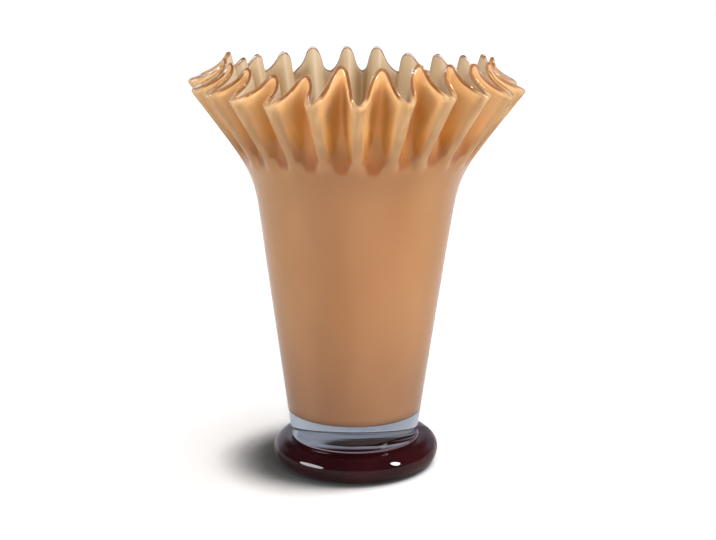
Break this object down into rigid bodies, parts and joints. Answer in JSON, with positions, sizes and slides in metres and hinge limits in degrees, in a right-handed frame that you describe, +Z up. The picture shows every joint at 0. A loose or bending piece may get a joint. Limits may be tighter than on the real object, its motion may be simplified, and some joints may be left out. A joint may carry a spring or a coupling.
{
  "type": "fan vase",
  "caption": "Blown cased-glass vase: a tapered caramel body opens into a deeply pleated fan rim above a thick clear base and a round burgundy disc foot.",
  "frame": {"origin": "middle of the foot's flat underside, on the surface that the vase stands on", "axes": "+Z up through the mouth; -Y towards the viewer of the picture; +X to the viewer's right"},
  "size_m": [0.1974, 0.196, 0.2502],
  "materials": {
    "burgundy_glass": "deep burgundy glass, fire polished, nearly opaque",
    "clear_glass": "clear fire-polished glass",
    "caramel_glass": "translucent caramel glass, glossy",
    "opal_glass": "pale peach opal glass, glossy"
  },
  "bodies": {
    "root": {"foot": "burgundy_glass", "clear_casing": "clear_glass", "caramel_layer": "caramel_glass", "opal_lining": "opal_glass"}
  },
  "joints": []
}
